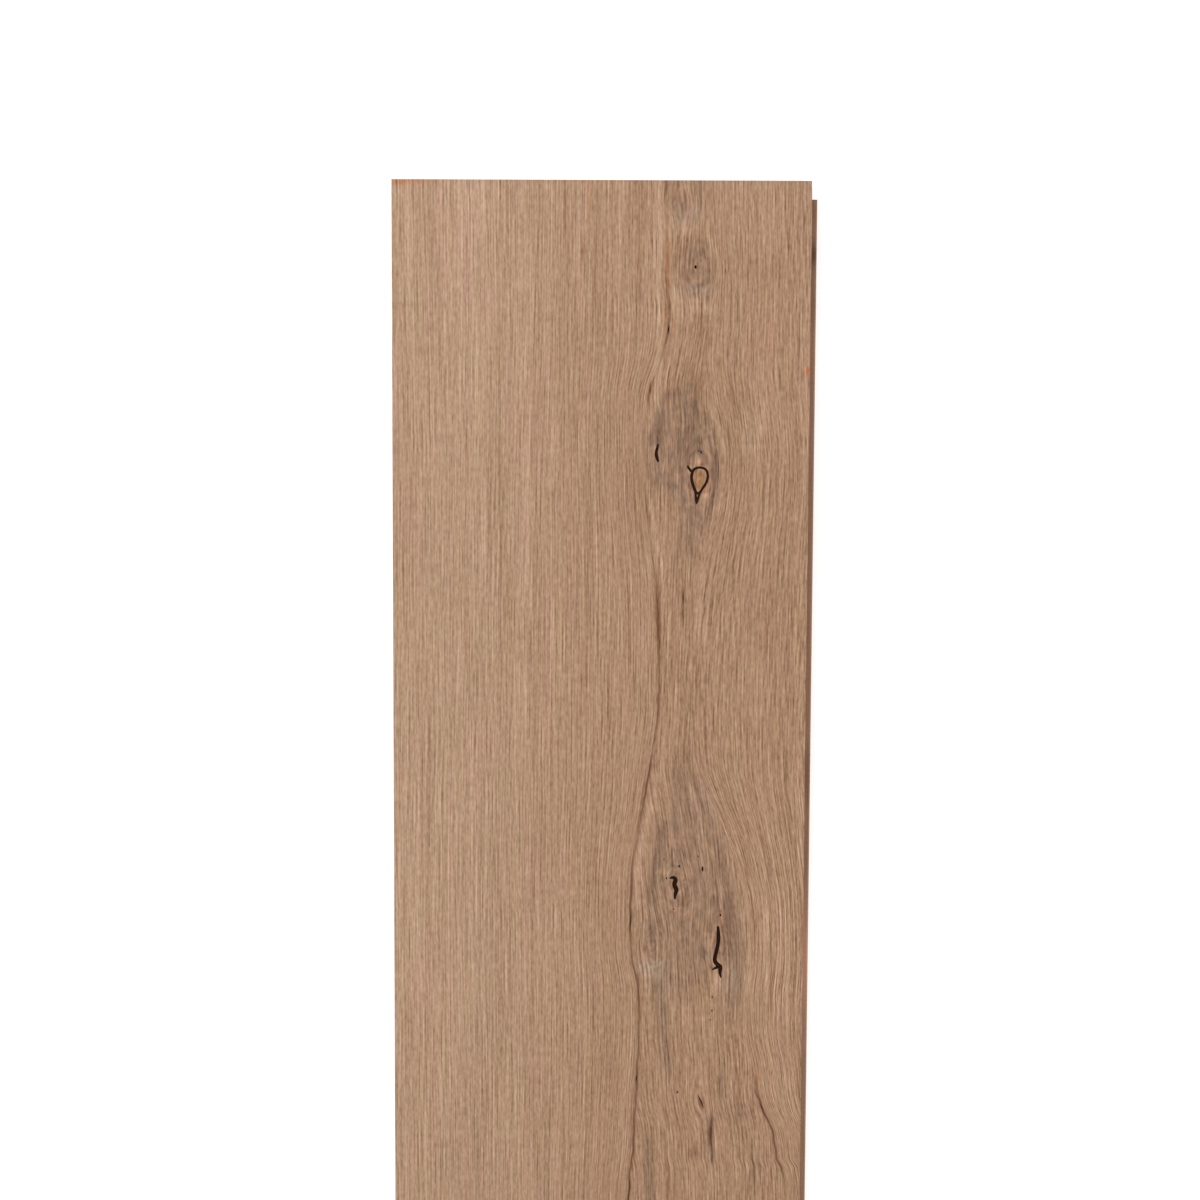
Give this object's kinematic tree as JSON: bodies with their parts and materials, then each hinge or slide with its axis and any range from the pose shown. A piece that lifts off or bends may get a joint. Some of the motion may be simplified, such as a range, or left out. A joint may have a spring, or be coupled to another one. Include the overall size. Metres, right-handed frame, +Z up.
{
  "type": "floorboard",
  "caption": "Wide oak plank floorboard with a knotty face, tongue and groove along its edges and across its ends, and relief grooves along its underside.",
  "frame": {"origin": "on the underside, midway between the two edges of the face and midway between its two ends", "axes": "+X across the board towards the edge tongue, +Y along the board towards the grooved end, +Z up from the underside to the face"},
  "size_m": [0.193, 1.9075, 0.02],
  "materials": {
    "oak": "lightly brushed, matt oiled oak with knots and filled checks"
  },
  "bodies": {
    "root": {"floorboard": "oak"}
  },
  "joints": []
}
